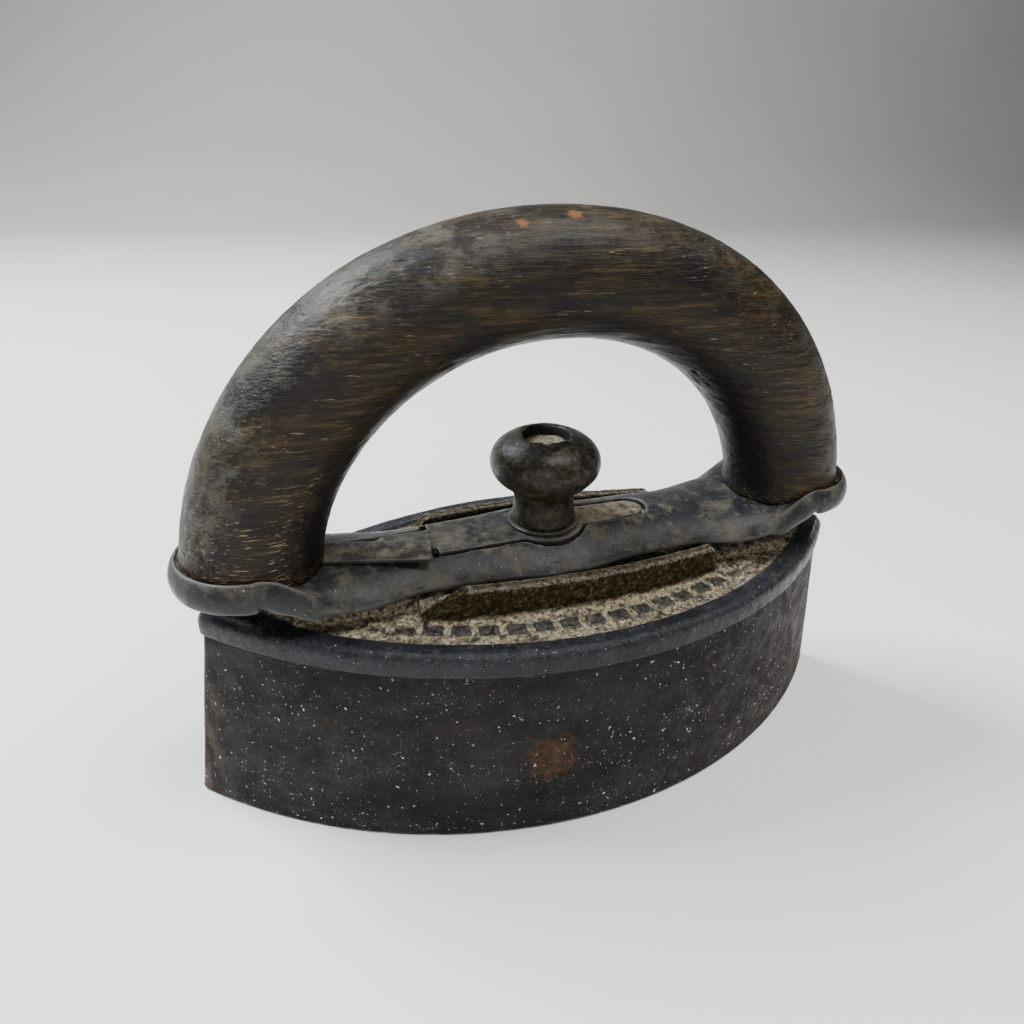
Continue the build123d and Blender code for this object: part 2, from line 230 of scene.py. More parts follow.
class Look:
    """A node material with its coordinates in millimetres in the row frame."""

    def __init__(self, name):
        self.material = bpy.data.materials.new(name)
        self.material.use_nodes = True
        self.tree = self.material.node_tree
        self.shader = self.tree.nodes["Principled BSDF"]
        coordinates = self.tree.nodes.new("ShaderNodeTexCoord")
        self.place = self.vector("SCALE", coordinates.outputs["Object"], scale=1 / MM)
        self.normal = None

    def link(self, value, socket):
        if isinstance(value, bpy.types.NodeSocket):
            self.tree.links.new(value, socket)
        elif value is not None:
            if socket.type == "RGBA" and len(value) == 3:
                value = (*value, 1)
            socket.default_value = value

    def vector(self, operation, first, second=None, scale=None):
        node = self.tree.nodes.new("ShaderNodeVectorMath")
        node.operation = operation
        self.link(first, node.inputs[0])
        self.link(second, node.inputs[1])
        if scale is not None:
            node.inputs["Scale"].default_value = scale
        return node.outputs["Value" if operation in ("LENGTH", "DISTANCE") else "Vector"]

    def stretched(self, stretch):
        return self.vector("MULTIPLY", self.place, tuple(1 / s for s in stretch))

    def noise(self, size, detail=4, rough=0.55, offset=0, warp=0):
        """Noise between 0 and 1; size is the width of one patch in mm, a number or three."""
        size = (size, size, size) if np.isscalar(size) else size
        node = self.tree.nodes.new("ShaderNodeTexNoise")
        place = self.vector("ADD", self.stretched(size), (offset, 1.7 * offset, 0.3 * offset))
        self.link(place, node.inputs["Vector"])
        node.inputs["Scale"].default_value = 1
        node.inputs["Detail"].default_value = detail
        node.inputs["Roughness"].default_value = rough
        node.inputs["Distortion"].default_value = warp
        return node.outputs["Fac"]

    def attribute(self, name):
        node = self.tree.nodes.new("ShaderNodeAttribute")
        node.attribute_name = name
        return node.outputs["Fac"]

    def axis(self, name):
        node = self.tree.nodes.new("ShaderNodeSeparateXYZ")
        self.link(self.place, node.inputs[0])
        return node.outputs[name]

    def facing(self, direction):
        """How much the surface faces a direction, 0 to 1."""
        geometry = self.tree.nodes.new("ShaderNodeNewGeometry")
        node = self.tree.nodes.new("ShaderNodeVectorMath")
        node.operation = "DOT_PRODUCT"
        self.link(geometry.outputs["True Normal"], node.inputs[0])
        node.inputs[1].default_value = Vector(direction).normalized()
        return self.math("MAXIMUM", node.outputs["Value"], 0.0)

    def spot(self, centre, radius, edge=0.5):
        """1 inside a round patch about a point in mm, falling to 0 at its ragged edge."""
        distance = self.vector("DISTANCE", self.place, centre)
        ragged = self.math("SUBTRACT", self.noise(radius * 0.45, 6, 0.7, offset=radius), 0.5)
        reach = self.math("ADD", distance, self.math("MULTIPLY", ragged, radius * 3.2))
        return self.remap(reach, radius * (1 + edge), radius)

    def math(self, operation, first, second=0.0):
        node = self.tree.nodes.new("ShaderNodeMath")
        node.operation = operation
        self.link(first, node.inputs[0])
        self.link(second, node.inputs[1])
        return node.outputs[0]

    def times(self, *factors):
        result = factors[0]
        for factor in factors[1:]:
            result = self.math("MULTIPLY", result, factor)
        return result

    def remap(self, value, low, high, bottom=0.0, top=1.0):
        node = self.tree.nodes.new("ShaderNodeMapRange")
        node.interpolation_type = "SMOOTHSTEP"
        self.link(value, node.inputs["Value"])
        node.inputs["From Min"].default_value = low
        node.inputs["From Max"].default_value = high
        node.inputs["To Min"].default_value = bottom
        node.inputs["To Max"].default_value = top
        return node.outputs["Result"]

    def ramp(self, value, stops):
        node = self.tree.nodes.new("ShaderNodeValToRGB")
        self.link(value, node.inputs["Fac"])
        elements = node.color_ramp.elements
        while len(elements) < len(stops):
            elements.new(0.5)
        for element, (position, colour) in zip(elements, stops):
            element.position = position
            element.color = (*colour, 1)
        return node.outputs["Color"]

    def mix(self, factor, first, second):
        node = self.tree.nodes.new("ShaderNodeMix")
        node.data_type = "RGBA"
        self.link(factor, node.inputs["Factor"])
        self.link(first, node.inputs[6])
        self.link(second, node.inputs[7])
        return node.outputs[2]

    def blend_value(self, factor, first, second):
        node = self.tree.nodes.new("ShaderNodeMix")
        node.data_type = "FLOAT"
        self.link(factor, node.inputs[0])
        self.link(first, node.inputs[2])
        self.link(second, node.inputs[3])
        return node.outputs[0]

    def bump(self, height, depth):
        """Adds relief; depth in mm is the height of a full step."""
        node = self.tree.nodes.new("ShaderNodeBump")
        self.link(height, node.inputs["Height"])
        node.inputs["Strength"].default_value = 1
        node.inputs["Distance"].default_value = depth * MM
        if self.normal is not None:
            self.link(self.normal, node.inputs["Normal"])
        self.normal = node.outputs["Normal"]

    def done(self, colour, roughness, metallic=0.0, coat=0.0, specular=0.5):
        self.link(colour, self.shader.inputs["Base Color"])
        self.link(roughness, self.shader.inputs["Roughness"])
        self.link(metallic, self.shader.inputs["Metallic"])
        self.link(coat, self.shader.inputs["Coat Weight"])
        self.shader.inputs["Coat Roughness"].default_value = 0.28
        self.link(specular, self.shader.inputs["Specular IOR Level"])
        if self.normal is not None:
            self.link(self.normal, self.shader.inputs["Normal"])
        return self.material


dust_pale = (0.34, 0.30, 0.23)
dust_grey = (0.17, 0.165, 0.155)
rust = (0.080, 0.036, 0.014)


def body_look():
    look = Look("blackened_cast_iron")
    patches = look.noise(22, 5, 0.6)
    colour = look.ramp(patches, [(0.3, (0.003, 0.003, 0.004)), (0.55, (0.008, 0.008, 0.009)),
                                 (0.75, (0.018, 0.017, 0.017))])
    grit = look.noise(0.8, 4, 0.75)
    colour = look.mix(look.remap(grit, 0.52, 0.72, 0, 0.35), colour, (0.04, 0.038, 0.037))
    haze = look.times(look.remap(look.noise((30, 30, 11), 6, 0.68, 3), 0.46, 0.7),
                      look.remap(grit, 0.35, 0.65))
    colour = look.mix(look.math("MULTIPLY", haze, 0.4), colour, (0.065, 0.062, 0.061))
    # Brown stain, more of it at the +X end
    browned = look.remap(look.noise((12, 12, 7), 6, 0.7, 7), 0.56, 0.74, 0, 0.6)
    right_end = look.times(look.remap(look.axis("X"), 30, 85),
                           look.remap(look.noise(15, 5, 0.6, 5), 0.35, 0.65))
    browned = look.math("MAXIMUM", browned, look.math("MULTIPLY", right_end, 0.6))
    brown = look.ramp(grit, [(0.35, (0.012, 0.007, 0.005)), (0.68, (0.055, 0.030, 0.018))])
    colour = look.mix(browned, colour, brown)
    # Rust patch on the near side
    patch = look.spot((-12.5, -36.5, 20.5), 4.6, 0.5)
    colour = look.mix(look.math("MULTIPLY", patch, 0.75), colour,
                      look.ramp(look.noise(1.6, 5, 0.7), [(0.35, (0.022, 0.011, 0.006)), (0.65, rust)]))
    # Worn points and scuffed foot
    tip = look.remap(look.math("ABSOLUTE", look.axis("X")), 78, 87)
    worn_tip = look.times(tip, look.remap(look.noise((4, 4, 9), 6, 0.7, 9), 0.42, 0.6))
    colour = look.mix(look.math("MULTIPLY", worn_tip, 0.7), colour, (0.095, 0.064, 0.042))
    foot = look.remap(look.axis("Z"), 5, 0.5)
    scuff = look.times(foot, look.remap(look.noise((5, 5, 1.6), 6, 0.75, 4), 0.56, 0.7))
    colour = look.mix(look.math("MULTIPLY", scuff, 0.65), colour, (0.17, 0.15, 0.125))
    # White flecks, in crowds
    crowd = look.remap(look.noise(14, 3, 0.6, 13), 0.42, 0.62)
    small = look.times(look.remap(look.noise(1.0, 3, 0.5, 21), 0.685, 0.71), look.remap(crowd, 0, 1, 0.4, 1))
    tiny = look.times(look.remap(look.noise(0.5, 2, 0.5, 31), 0.70, 0.73), crowd)
    flecks = look.math("MAXIMUM", small, look.math("MULTIPLY", tiny, 0.7))
    colour = look.mix(flecks, colour, (0.75, 0.73, 0.68))
    scratch = look.times(look.remap(look.noise((26, 26, 0.35), 3, 0.5, 17), 0.69, 0.73),
                         look.remap(look.noise(12, 3, 0.5, 19), 0.52, 0.66), 0.5)
    colour = look.mix(scratch, colour, (0.16, 0.15, 0.145))
    worn = look.remap(look.attribute("wear"), 0.3, 0.95, 0, 0.35)
    colour = look.mix(worn, colour, (0.09, 0.082, 0.075))
    look.bump(look.noise(0.5, 5, 0.72), 0.12)
    look.bump(look.noise(3.2, 4, 0.6), 0.22)
    look.bump(flecks, 0.08)
    roughness = look.remap(look.noise(4, 5), 0.3, 0.7, 0.42, 0.68)
    roughness = look.math("ADD", roughness, look.math("MULTIPLY", browned, 0.2))
    return look.done(colour, roughness, specular=0.12)


def cap_look():
    look = Look("dusty_cap_iron")
    grit = look.noise(0.8, 5, 0.72)
    iron = look.ramp(look.noise(6, 5, 0.6), [(0.35, (0.004, 0.005, 0.008)), (0.65, (0.013, 0.015, 0.020))])
    iron = look.mix(look.remap(grit, 0.52, 0.72, 0, 0.4), iron, (0.05, 0.052, 0.056))
    # Olive-brown ribs
    rib = look.attribute("rib")
    olive = look.ramp(look.noise(1.1, 6, 0.75, 2),
                      [(0.36, (0.006, 0.005, 0.003)), (0.5, (0.026, 0.020, 0.009)),
                       (0.62, (0.085, 0.065, 0.032)), (0.74, (0.26, 0.21, 0.13))])
    colour = look.mix(rib, iron, olive)
    # Packed tan dust in the channel, and a thin film elsewhere
    channel = look.attribute("channel")
    tan = look.ramp(look.noise(0.9, 6, 0.72, 4),
                    [(0.34, (0.022, 0.018, 0.012)), (0.46, (0.18, 0.152, 0.10)), (0.66, (0.60, 0.53, 0.38))])
    packed = look.remap(look.noise(3.2, 6, 0.75, 6), 0.40, 0.56)
    dusty = look.times(channel, look.math("MAXIMUM", packed, look.attribute("dirt")))
    colour = look.mix(look.math("MULTIPLY", dusty, 0.94), colour, tan)
    settled = look.times(look.facing((0, 0, 1)), look.remap(look.noise(2.6, 6, 0.75, 8), 0.5, 0.72), 0.45)
    settled = look.math("MULTIPLY", settled, look.blend_value(channel, 0.25, 1.0))
    colour = look.mix(settled, colour, dust_pale)
    # Bare edges, pale rib tops, and rust with painted shade under the rim
    worn = look.remap(look.attribute("wear"), 0.3, 0.95)
    worn = look.times(worn, look.remap(grit, 0.4, 0.62), look.blend_value(rib, 0.4, 0.9),
                      look.remap(look.axis("Z"), 44.6, 45.4))
    colour = look.mix(worn, colour, (0.17, 0.16, 0.135))
    top_of_rib = look.times(rib, look.remap(look.axis("Z"), 55.6, 56.4),
                            look.remap(look.noise(2, 6, 0.75, 9), 0.45, 0.6))
    colour = look.mix(look.math("MULTIPLY", top_of_rib, 0.4), colour, (0.11, 0.10, 0.08))
    # Dark rust-brown band along the cap's foot under the rim: rust, and painted shade of the rim's
    # overhanging lip
    rust_and_shade_under_rim = look.times(look.remap(look.axis("Z"), 45.6, 44.4),
                           look.remap(look.noise(4, 5, 0.7, 1), 0.42, 0.6))
    colour = look.mix(look.math("MULTIPLY", rust_and_shade_under_rim, 0.7), colour, (0.022, 0.011, 0.006))
    speck = look.times(look.remap(look.noise(0.5, 2, 0.5, 27), 0.72, 0.76), look.remap(rib, 1.0, 0.0))
    colour = look.mix(speck, colour, (0.50, 0.48, 0.43))
    look.bump(grit, 0.24)
    look.bump(look.noise(2.6, 5, 0.65, 3), 0.26)
    roughness = look.remap(look.noise(2.0, 5), 0.3, 0.7, 0.24, 0.46)
    matt = look.math("MAXIMUM", dusty, look.math("MULTIPLY", rib, 0.7))
    roughness = look.blend_value(matt, roughness, 0.95)
    specular = look.blend_value(look.math("MAXIMUM", dusty, rib), 0.22, 0.05)
    return look.done(colour, roughness, specular=specular)


def wood_look():
    look = Look("worn_dark_walnut")
    inner, outer = look.attribute("inner"), look.attribute("outer")
    figure = look.noise((24, 2.8, 1.2), 6, 0.68, warp=0.3)
    colour = look.ramp(figure, [(0.36, (0.003, 0.002, 0.001)), (0.47, (0.012, 0.007, 0.002)),
                                (0.56, (0.027, 0.017, 0.005)), (0.70, (0.070, 0.044, 0.014))])
    pore = look.noise((4.5, 0.7, 0.34), 5, 0.7, 12)
    colour = look.mix(look.remap(pore, 0.48, 0.36, 0, 0.8), colour, (0.006, 0.005, 0.004))
    colour = look.mix(look.remap(pore, 0.55, 0.66, 0, 0.4), colour, (0.12, 0.086, 0.042))
    # Blackened patches, and the inner side of the arch painted near-black as painted shade
    char = look.remap(look.noise((20, 13, 11), 6, 0.65, 5), 0.43, 0.60)
    colour = look.mix(look.math("MULTIPLY", char, 0.8), colour, (0.003, 0.003, 0.003))
    # The inner side, facing away from the lamps, painted near-black: painted shade
    colour = look.mix(look.math("MULTIPLY", inner, 0.9), colour, (0.002, 0.0018, 0.0016))
    # Pale torn fibres, mostly low on the -X leg
    fibre = look.noise((5.0, 0.8, 0.40), 5, 0.62, 2, 0.35)
    strand = look.remap(fibre, 0.615, 0.665)
    zone = look.remap(look.noise((17, 9, 8), 4, 0.6, 9), 0.48, 0.62)
    low = look.times(look.remap(look.axis("Z"), 96, 70), look.remap(look.axis("X"), -20, -40))
    zone = look.math("MAXIMUM", look.math("MULTIPLY", zone, 0.7), look.math("MULTIPLY", low, 0.8))
    tick = look.times(look.remap(look.noise((8, 1.2, 0.5), 4, 0.6, 41, 0.3), 0.63, 0.67), low)
    streak = look.times(look.math("MAXIMUM", strand, tick), zone, look.remap(inner, 0.7, 0.1))
    colour = look.mix(look.math("MULTIPLY", streak, 0.75), colour, (0.34, 0.245, 0.14))
    # Grey film and specks on the outer side
    film = look.times(outer, look.remap(look.noise((9, 7, 7), 7, 0.78, 7), 0.47, 0.61),
                      look.remap(look.axis("X"), 10, -40, 0.35, 1))
    colour = look.mix(look.math("MULTIPLY", film, 0.42), colour, (0.115, 0.108, 0.088))
    speck = look.times(look.remap(look.noise((1.4, 0.6, 0.6), 4, 0.7, 3), 0.64, 0.72), outer)
    colour = look.mix(look.math("MULTIPLY", speck, 0.6), colour, dust_grey)
    end_wear = look.times(look.attribute("foot"), look.remap(fibre, 0.5, 0.62))
    colour = look.mix(look.math("MULTIPLY", end_wear, 0.3), colour, (0.20, 0.15, 0.09))
    for centre, radius in chips:
        chip = look.spot(centre, radius, 0.3)
        colour = look.mix(look.math("MULTIPLY", chip, 0.8), colour, (0.15, 0.066, 0.022))
    look.bump(fibre, 0.2)
    look.bump(pore, 0.14)
    look.bump(look.noise((26, 2.2, 1.4), 4, 0.6, 4), 0.3)
    roughness = look.remap(look.noise((8, 4, 4), 5, 0.65, 6), 0.3, 0.7, 0.27, 0.5)
    roughness = look.math("ADD", roughness, look.math("MULTIPLY", film, 0.16))
    return look.done(colour, roughness, coat=0.04, specular=0.18)


def plate_look():
    look = Look("dark_pressed_steel")
    colour = look.ramp(look.noise(12, 6, 0.65), [(0.3, (0.008, 0.009, 0.010)), (0.55, (0.019, 0.020, 0.022)),
                                               (0.8, (0.042, 0.043, 0.045))])
    grit = look.noise(0.9, 5, 0.72)
    colour = look.mix(look.remap(grit, 0.52, 0.74, 0, 0.3), colour, (0.075, 0.074, 0.070))
    dusty = look.times(look.facing((0.1, -0.35, 1)), look.remap(look.noise(6, 8, 0.78, 4), 0.47, 0.62))
    colour = look.mix(look.math("MULTIPLY", dusty, 0.48), colour, (0.145, 0.128, 0.094))
    colour = look.mix(look.remap(look.attribute("dirt"), 0.2, 0.9, 0, 0.6), colour, (0.14, 0.12, 0.09))
    colour = look.mix(look.remap(look.attribute("wear"), 0.25, 0.95, 0, 0.45), colour, (0.13, 0.128, 0.122))
    browned = look.remap(look.noise(6, 6, 0.7, 11), 0.58, 0.72, 0, 0.5)
    colour = look.mix(browned, colour, (0.045, 0.032, 0.022))
    speck = look.remap(look.noise(0.5, 2, 0.5, 23), 0.72, 0.76)
    colour = look.mix(speck, colour, (0.40, 0.38, 0.34))
    look.bump(grit, 0.10)
    look.bump(look.noise(4, 5, 0.6, 2), 0.22)
    roughness = look.remap(look.noise(3, 5), 0.3, 0.7, 0.32, 0.5)
    roughness = look.math("ADD", roughness, look.math("MULTIPLY", dusty, 0.3))
    return look.done(colour, roughness, specular=look.blend_value(dusty, 0.2, 0.08))


def lever_look(name, tan_amount, film_amount):
    look = Look(name)
    colour = look.ramp(look.noise(6, 6, 0.65, 3), [(0.3, (0.008, 0.008, 0.009)), (0.6, (0.024, 0.023, 0.022)),
                                                 (0.85, (0.055, 0.051, 0.045))])
    tan = look.ramp(look.noise(1.2, 6, 0.74), [(0.3, (0.075, 0.056, 0.034)), (0.7, (0.30, 0.25, 0.17))])
    beyond = look.remap(look.axis("X"), -2, 8)
    dusty = look.times(look.facing((0, 0, 1)), beyond, look.remap(look.noise(2.6, 6, 0.7, 6), 0.36, 0.58))
    colour = look.mix(look.math("MULTIPLY", dusty, tan_amount), colour, tan)
    film = look.times(look.facing((0, 0, 1)), look.remap(look.noise(4, 7, 0.76, 2), 0.40, 0.64), film_amount)
    colour = look.mix(film, colour, (0.19, 0.17, 0.125))
    colour = look.mix(look.remap(look.attribute("dirt"), 0.2, 0.9, 0, 0.7), colour, tan)
    colour = look.mix(look.remap(look.attribute("wear"), 0.25, 0.95, 0, 0.4), colour, (0.12, 0.115, 0.10))
    look.bump(look.noise(0.8, 5, 0.7), 0.07)
    look.bump(look.noise(3, 4, 0.6, 5), 0.14)
    roughness = look.remap(look.noise(3, 5), 0.3, 0.7, 0.34, 0.55)
    return look.done(colour, look.math("ADD", roughness, look.math("MULTIPLY", dusty, 0.3)), specular=0.2)


def knob_look():
    look = Look("blackened_turned_knob")
    colour = look.ramp(look.noise(4, 6, 0.65), [(0.3, (0.003, 0.003, 0.003)), (0.55, (0.009, 0.008, 0.006)),
                                              (0.8, (0.022, 0.018, 0.011))])
    gold = look.remap(look.noise((2.6, 2.6, 1.8), 8, 0.8, 4), 0.47, 0.62)
    colour = look.mix(look.math("MULTIPLY", gold, 0.5), colour, (0.085, 0.068, 0.034))
    fine = look.remap(look.noise(0.55, 4, 0.75, 6), 0.55, 0.72, 0, 0.4)
    colour = look.mix(fine, colour, (0.11, 0.098, 0.075))
    recess = look.attribute("recess")
    # The walls of the knob's hollow painted near-black and matt: painted shade
    colour = look.mix(look.math("MULTIPLY", recess, 0.95), colour, (0.006, 0.005, 0.004))
    look.bump(look.noise(0.6, 5, 0.7, 2), 0.08)
    look.bump(look.noise(3, 4, 0.6, 8), 0.18)
    roughness = look.remap(look.noise(2.5, 5), 0.3, 0.7, 0.26, 0.48)
    return look.done(colour, look.blend_value(recess, roughness, 0.85), coat=0.03, specular=0.2)


def loose_dust_look():
    look = Look("packed_dust")
    colour = look.ramp(look.noise(0.9, 6, 0.72, 9), [(0.32, (0.04, 0.031, 0.02)), (0.66, (0.30, 0.25, 0.17))])
    look.bump(look.noise(0.5, 5, 0.7, 2), 0.15)
    return look.done(colour, 0.95)


def plain_metal_look(name, dark, light, metallic):
    look = Look(name)
    colour = look.ramp(look.noise(3, 5, 0.65), [(0.3, dark), (0.75, light)])
    colour = look.mix(look.remap(look.noise(4, 5, 0.7, 5), 0.55, 0.72, 0, 0.6), colour, (0.10, 0.05, 0.025))
    colour = look.mix(look.times(look.facing((0, 0, 1)), 0.3), colour, dust_grey)
    look.bump(look.noise(0.7, 4, 0.7), 0.05)
    return look.done(colour, look.remap(look.noise(2.5, 4), 0.3, 0.7, 0.38, 0.6), metallic)


def plaster_look():
    look = Look("old_plaster")
    colour = look.ramp(look.noise(4, 6, 0.7), [(0.3, (0.42, 0.38, 0.31)), (0.7, (0.62, 0.58, 0.50))])
    look.bump(look.noise(0.8, 5, 0.7), 0.2)
    return look.done(colour, 0.95)


# Iron body

def lens_outline(length, half_width, nose, count):
    """Closed outline of a double-pointed plan: two circular arcs whose meeting points are rounded off, so
    that it reaches a length to each side."""
    half_length = length
    for _ in range(30):
        radius = (half_length**2 + half_width**2) / (2 * half_width)
        tip = math.sqrt(2 * (radius - nose) * (half_width - nose) - (half_width - nose)**2)
        half_length += length - tip - nose
    sweep = math.asin(tip / (radius - nose))
    across = np.linspace(-sweep, sweep, count)
    near = np.stack([radius * np.sin(across), radius - half_width - radius * np.cos(across)], 1)
    bearing = np.linspace(sweep - math.pi / 2, math.pi / 2 - sweep, 11)[1:-1]
    end = np.stack([tip + nose * np.cos(bearing), nose * np.sin(bearing)], 1)
    return np.concatenate([near, end, -near, -end], 0)


def make_iron_body():
    _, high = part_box("sole_body")
    height = high.z
    outline_low = lens_outline(high.x, high.y, body_nose, 500)
    outline_high = lens_outline(high.x - body_narrowing[0], high.y - body_narrowing[1], body_nose, 500)
    rows = []
    edge = 0.8 * MM
    for angle in np.linspace(-90, 0, 7):
        rows.append((edge * (1 + math.sin(math.radians(angle))), edge * (1 - math.cos(math.radians(angle)))))
    for level in np.linspace(edge, height, 76)[1:]:
        rows.append((level, 0.0))
    points = []
    for level, inset in rows:
        share = level / height
        ring = outline_low * (1 - share) + outline_high * share
        reach = np.hypot(ring[:, 0], ring[:, 1])[:, None]
        ring = ring * (1 - inset / reach)
        points.append(np.column_stack([ring, np.full(len(ring), level)]))
    columns = len(outline_low)
    points = np.concatenate(points)
    faces = grid_faces(len(rows), columns, True)
    faces.append(tuple(range(columns)))
    faces.append(tuple(reversed(range(len(points) - columns, len(points)))))
    piece = make_piece("iron_body", points, faces)
    turn_faces_out(piece, 0.02 * MM)
    points = get_points(piece)
    side = smoothstep(0, 2 * MM, points[:, 2])
    relief = 0.10 * rough_noise(points, 9 * MM, 3) + 0.06 * rough_noise(points, 2.2 * MM, 5)
    chipped = np.clip(noise(points, 3.5 * MM, 8) - 0.45, 0, 1) * smoothstep(3 * MM, 0, points[:, 2])
    relief -= 0.7 * chipped
    displace(piece, (relief - 0.12) * MM * np.maximum(side, 0.3 * (points[:, 2] < 2 * MM)))
    mark_wear(piece, 6, 0.10 * MM)
    fit(piece, "sole_body", "iron", body_look())


# Cap

def make_cap():
    piece = refined("cap", "cast_cap", 0.34 * MM, 3)
    low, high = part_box("cap")
    points = get_points(piece)
    x, y, z = points.T
    half_width = high.y
    arcs_meet = high.x + 1.1 * MM
    radius = (arcs_meet**2 + half_width**2) / (2 * half_width)
    inset = radius - np.hypot(x, np.abs(y) + radius - half_width)
    inside = smoothstep(4.9 * MM, 6.2 * MM, inset) * smoothstep(46.5 * MM, 47.3 * MM, z)
    above = z - channel_floor
    rib_radius = (rib_half_length**2 + rib_rise**2) / (2 * rib_rise)
    rib_line = np.hypot(x, np.abs(y) + rib_radius - rib_middle) - rib_radius
    ragged = 0.7 * rough_noise(points, 2.4 * MM, 21) * MM
    rib = inside * smoothstep(0.7 * MM, 1.9 * MM, above + ragged) * (np.abs(x) < 37.5 * MM)
    rib = rib * smoothstep(0.7 * MM, 0.2 * MM, rib_line) * smoothstep(-4.5 * MM, -3.4 * MM, rib_line)
    worn_end = channel_floor + 0.3 * MM + (high.z - channel_floor) * smoothstep(-39 * MM, -25 * MM, x)
    z = np.where(rib > 0.02, np.minimum(z, worn_end), z)
    set_points(piece, np.column_stack([x, y, z]))
    points = get_points(piece)
    low_lying = inside * smoothstep(0.9 * MM, 0.5 * MM, above)
    channel = inside * (1 - rib)
    block_top = smoothstep(0.6 * MM, 0.9 * MM, above) * smoothstep(1.9 * MM, 1.4 * MM, above)
    channel *= 1 - 0.85 * block_top * smoothstep(0.8 * MM, 1.6 * MM, rib_line)
    up = smoothstep(0.5, 0.9, get_normals(piece)[:, 2])
    heap = low_lying * up * np.clip(rough_noise(points, 4 * MM, 4) + 0.3, 0, 1) * 0.6 * MM
    crumbs = inside * up * np.clip(noise(points, 0.8 * MM, 6) - 0.15, 0, 1) * 0.45 * MM * (1 - rib)
    relief = (0.10 * rough_noise(points, 5 * MM, 2) + 0.07 * rough_noise(points, 1.3 * MM, 9)) * MM
    relief -= block_top * inside * np.clip(noise(points, 2.4 * MM, 14), 0, 1) * 0.55 * MM
    visible = z > low.z + 0.2 * MM
    displace(piece, (heap + crumbs + relief - 0.06 * MM) * visible)
    mark_wear(piece, 10, 0.12 * MM)
    set_attribute(piece, "channel", channel)
    set_attribute(piece, "rib", rib)
    fit(piece, "cap", "iron", cap_look())


# Handle

def arch_line(angles, low, high):
    """Centre line of the wooden arch in its XZ plane, for angles from 0 at +X to pi at -X."""
    centre_x = (low.x + high.x) / 2
    span = (high.x - low.x) / 2 - arch_depth + 0.5 * MM
    rise = high.z - arch_depth + top_thinning - arch_base
    c, s = np.cos(angles), np.sin(angles)
    x = centre_x + span * np.sign(c) * np.abs(c)**(2 / arch_power)
    z = arch_base + rise * np.abs(s)**(2 / arch_power)
    return x, z


def seat_height(points, low):
    """Height of the plate's upper face under each low point of the grip, where the foot ends."""
    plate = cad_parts["handle_plate"].data
    faces = BVHTree.FromPolygons([v.co for v in plate.vertices], [tuple(p.vertices) for p in plate.polygons])
    floor = low.z + (points[:, 0] - low.x) * math.tan(plate_slope)
    foot_top, ray_start, sunk = 70 * MM, 75 * MM, 0.25 * MM
    for index in np.flatnonzero(points[:, 2] < foot_top):
        x, y, _ = points[index]
        hit = faces.ray_cast(Vector((x, y, ray_start)), Vector((0, 0, -1)))[0]
        if hit is not None:
            floor[index] = max(floor[index], hit.z - sunk)
    return floor


def make_grip():
    low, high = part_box("wood_grip")
    rows, columns = 620, 200
    angles = np.linspace(0.0, math.pi, rows)
    x, z = arch_line(angles, low, high)
    tangent = np.stack([np.gradient(x), np.gradient(z)], 1)
    tangent[0] = (0, 1)
    tangent[-1] = (0, -1)
    tangent /= np.linalg.norm(tangent, axis=1)[:, None]
    outward = np.stack([tangent[:, 1], -tangent[:, 0]], 1)
    around = np.linspace(0, 2 * math.pi, columns, endpoint=False)
    thick = arch_depth + foot_flare * np.abs(np.cos(angles))**8 - top_thinning * np.sin(angles)**6
    half_width = (high.y - low.y) / 2
    points, outer = [], []
    for row in range(rows):
        reach = thick[row] * np.cos(around)
        points.append(np.stack([x[row] + outward[row, 0] * reach, half_width * np.sin(around),
                                z[row] + outward[row, 1] * reach], 1))
        outer.append(np.cos(around))
    points = np.concatenate(points)
    outer = np.concatenate(outer)
    floor = seat_height(points, low)
    points[:, 2] = np.maximum(points[:, 2], floor)
    faces = grid_faces(rows, columns, True)
    faces.append(tuple(range(columns)))
    faces.append(tuple(reversed(range(len(points) - columns, len(points)))))
    piece = make_piece("walnut_grip", points, faces)
    turn_faces_out(piece)
    free = smoothstep(floor + 0.5 * MM, floor + 4 * MM, points[:, 2])
    relief = 0.22 * rough_noise(points, (30 * MM, 16 * MM, 16 * MM), 2)
    relief += 0.10 * rough_noise(points, (9 * MM, 1.3 * MM, 1.0 * MM), 4)
    gouges = np.clip(noise(points, (7 * MM, 1.1 * MM, 0.8 * MM), 6) - 0.45, 0, 1)
    patchy = smoothstep(0.0, 0.4, noise(points, (18 * MM, 12 * MM, 9 * MM), 7))
    relief -= 0.55 * gouges * patchy
    displace(piece, free * (relief - 0.16) * MM)
    set_attribute(piece, "outer", smoothstep(0.05, 0.75, outer))
    # inner marks the arch's inner side, which the wood's material paints near-black as painted shade
    set_attribute(piece, "inner", smoothstep(0.3, 0.85, -outer))
    set_attribute(piece, "foot", smoothstep(4 * MM, 1 * MM, points[:, 2] - floor))
    fit(piece, "wood_grip", "handle", wood_look())


def make_plate():
    piece = refined("handle_plate", "pressed_plate", 0.34 * MM, 6)
    points = get_points(piece)
    relief = 0.16 * rough_noise(points, 11 * MM, 3) + 0.03 * rough_noise(points, 2.0 * MM, 5)
    displace(piece, (relief - 0.08) * MM)
    mark_wear(piece, 14, 0.14 * MM)
    fit(piece, "handle_plate", "handle", plate_look())


# Latch

def make_lever():
    piece = refined("latch_lever", "rocking_lever", 0.26 * MM, 5)
    points = get_points(piece)
    top = smoothstep(0.6, 0.95, get_normals(piece)[:, 2])
    displace(piece, (0.12 * rough_noise(points, 4 * MM, 3) - 0.08) * top * MM)
    mark_wear(piece, 10, 0.12 * MM)
    fit(piece, "latch_lever", "latch", lever_look("dusty_lever_steel", 0.85, 0.35))


